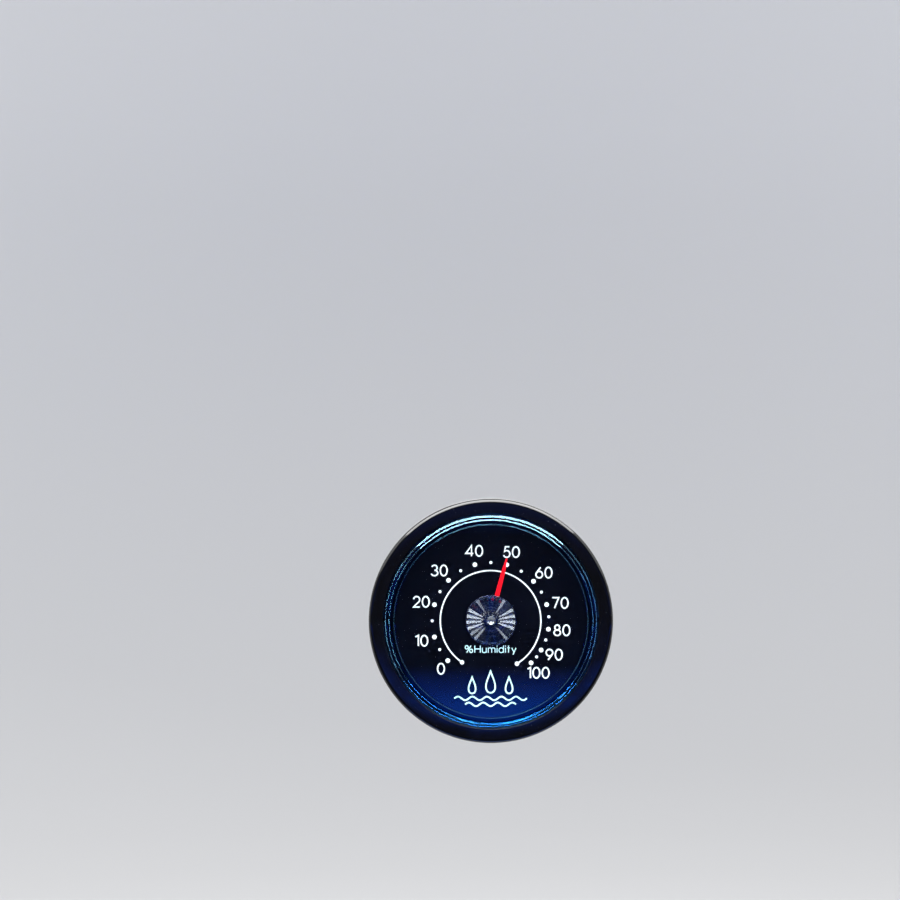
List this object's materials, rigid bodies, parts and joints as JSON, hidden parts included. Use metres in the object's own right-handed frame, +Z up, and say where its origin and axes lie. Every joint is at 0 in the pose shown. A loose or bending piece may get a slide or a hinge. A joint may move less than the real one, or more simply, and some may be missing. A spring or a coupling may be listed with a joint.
{
  "type": "dial hygrometer",
  "caption": "Round wall-mounted dial hygrometer with a black case, raised clear window, fluted clear hub cap, red pointer and a hook-and-loop pad on its back.",
  "frame": {"origin": "centre of the wall pad's sticky face, on the wall and on the dial's axis", "axes": "+Y into the wall, so the dial faces -Y; +Z up towards the middle of the scale; +X to the right as the dial is read"},
  "size_m": [0.0736, 0.0235, 0.0736],
  "materials": {
    "black_plastic": "gloss",
    "dial_black": "satin",
    "clear_plastic": "gloss",
    "pointer_red": "satin",
    "coil_strip": "satin",
    "brass": "satin",
    "blued_steel": "satin",
    "steel": "satin",
    "fastener_fabric": "matte",
    "fastener_hooks": "matte",
    "adhesive": "matte"
  },
  "bodies": {
    "wall_pad": {"wall_adhesive": "adhesive", "wall_loop_pad": "fastener_fabric"},
    "gauge": {"case_hook_pad": "fastener_hooks", "case_adhesive": "adhesive", "rear_case": "black_plastic", "dial_plate": "dial_black", "lens": "clear_plastic", "bezel_ring": "black_plastic", "movement_bridge": "blued_steel", "bearing_bush": "brass", "bridge_screw_1": "steel", "bridge_screw_2": "steel", "bridge_screw_3": "steel"},
    "arbor": {"arbor": "steel", "retaining_clip": "steel", "friction_washer": "steel", "rosette_cap": "clear_plastic", "arbor_collet": "blued_steel", "humidity_coil": "coil_strip"},
    "pointer": {"coil_end_clip": "steel", "pointer": "pointer_red"}
  },
  "joints": [
    {"name": "pull_off", "type": "slide", "parent": "wall_pad", "child": "gauge", "axis": [0, -1, 0], "range_m": [0, 0.03]},
    {"name": "calibration", "type": "hinge", "parent": "gauge", "child": "arbor", "pos_m": [0, 0, 0], "axis": [0, 1, 0], "range_deg": [-20, 20]},
    {"name": "humidity", "type": "hinge", "parent": "arbor", "child": "pointer", "pos_m": [0, 0, 0], "axis": [0, 1, 0], "range_deg": [-147.8, 121.5], "stiffness_Nm_per_rad": 0.0003, "deforming": ["humidity_coil"]}
  ]
}
